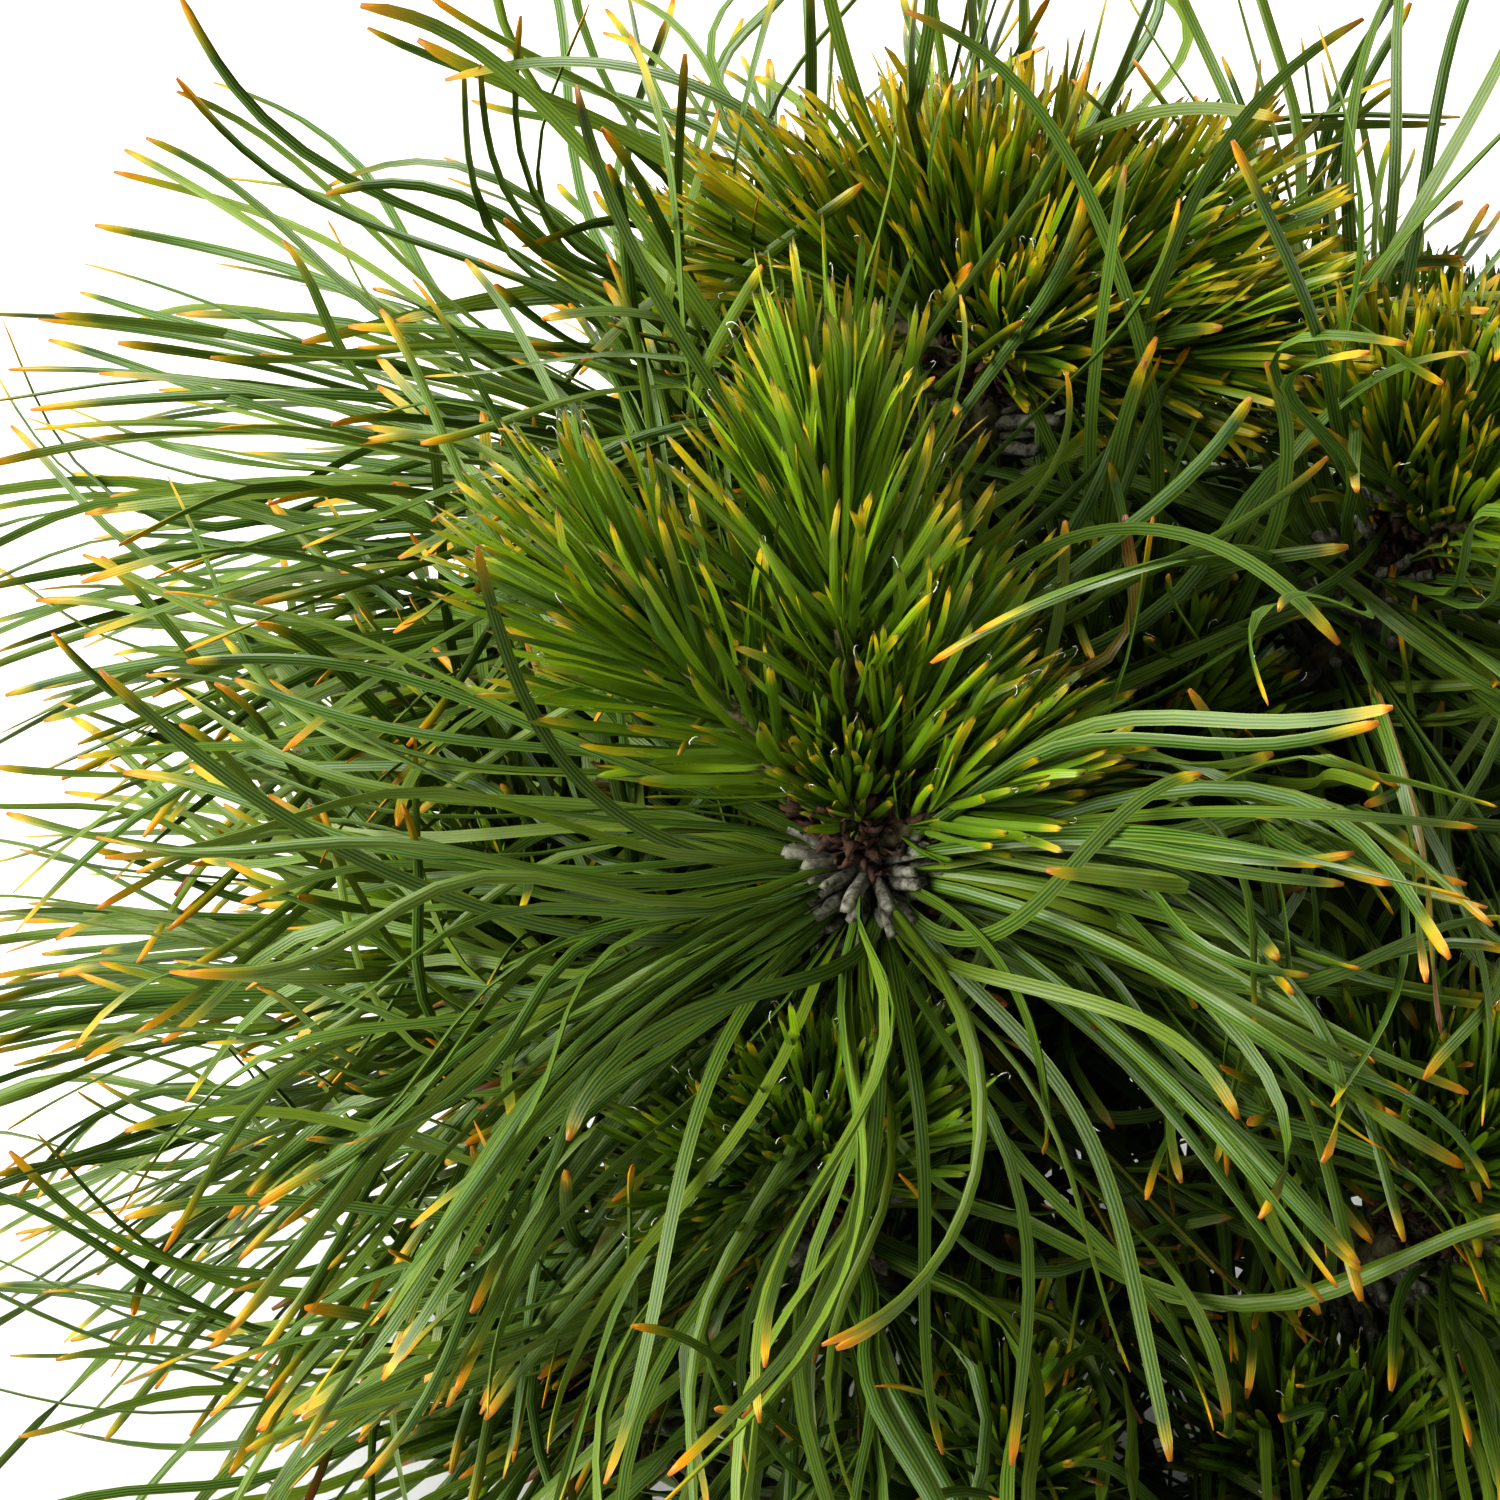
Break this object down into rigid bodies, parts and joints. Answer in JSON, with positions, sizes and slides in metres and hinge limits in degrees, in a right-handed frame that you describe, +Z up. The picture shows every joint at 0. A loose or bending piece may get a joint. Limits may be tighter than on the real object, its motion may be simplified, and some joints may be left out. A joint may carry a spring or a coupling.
{
  "type": "mugo pine",
  "caption": "Young dwarf mugo pine with a short trunk, ascending boughs, long paired needles and upright candles of short new needles, rooted in level ground.",
  "frame": {"origin": "middle of the flat cut under the trunk, at ground level", "axes": "+Z up along the trunk, +X to the right and +Y away from the viewer who faces the plant's front"},
  "size_m": [0.2452, 0.25, 0.2054],
  "materials": {
    "bark": "rough grey-brown scaly bark",
    "needles": "waxy dark green needles with yellow tips"
  },
  "bodies": {
    "root": {"trunk": "bark", "bough_front_left": "bark", "bough_right": "bark", "bough_middle": "bark", "bough_back_left": "bark", "bough_back": "bark", "bough_back_right": "bark", "bough_front_lower": "bark", "bough_front_right": "bark", "bough_left": "bark", "bough_right_lower": "bark", "bough_left_lower": "bark", "bough_front_foot": "bark", "bough_front_right_foot": "bark", "bough_back_right_lower": "bark", "bough_back_lower": "bark", "bough_back_left_lower": "bark", "foliage_top": "needles", "foliage_front_left": "needles", "foliage_right": "needles", "foliage_middle": "needles", "foliage_back_left": "needles", "foliage_back": "needles", "foliage_back_right": "needles", "foliage_front_lower": "needles", "foliage_front_right": "needles", "foliage_left": "needles", "foliage_right_lower": "needles", "foliage_left_lower": "needles", "foliage_front_foot": "needles", "foliage_front_right_foot": "needles", "foliage_back_right_lower": "needles", "foliage_back_lower": "needles", "foliage_back_left_lower": "needles"}
  },
  "joints": []
}
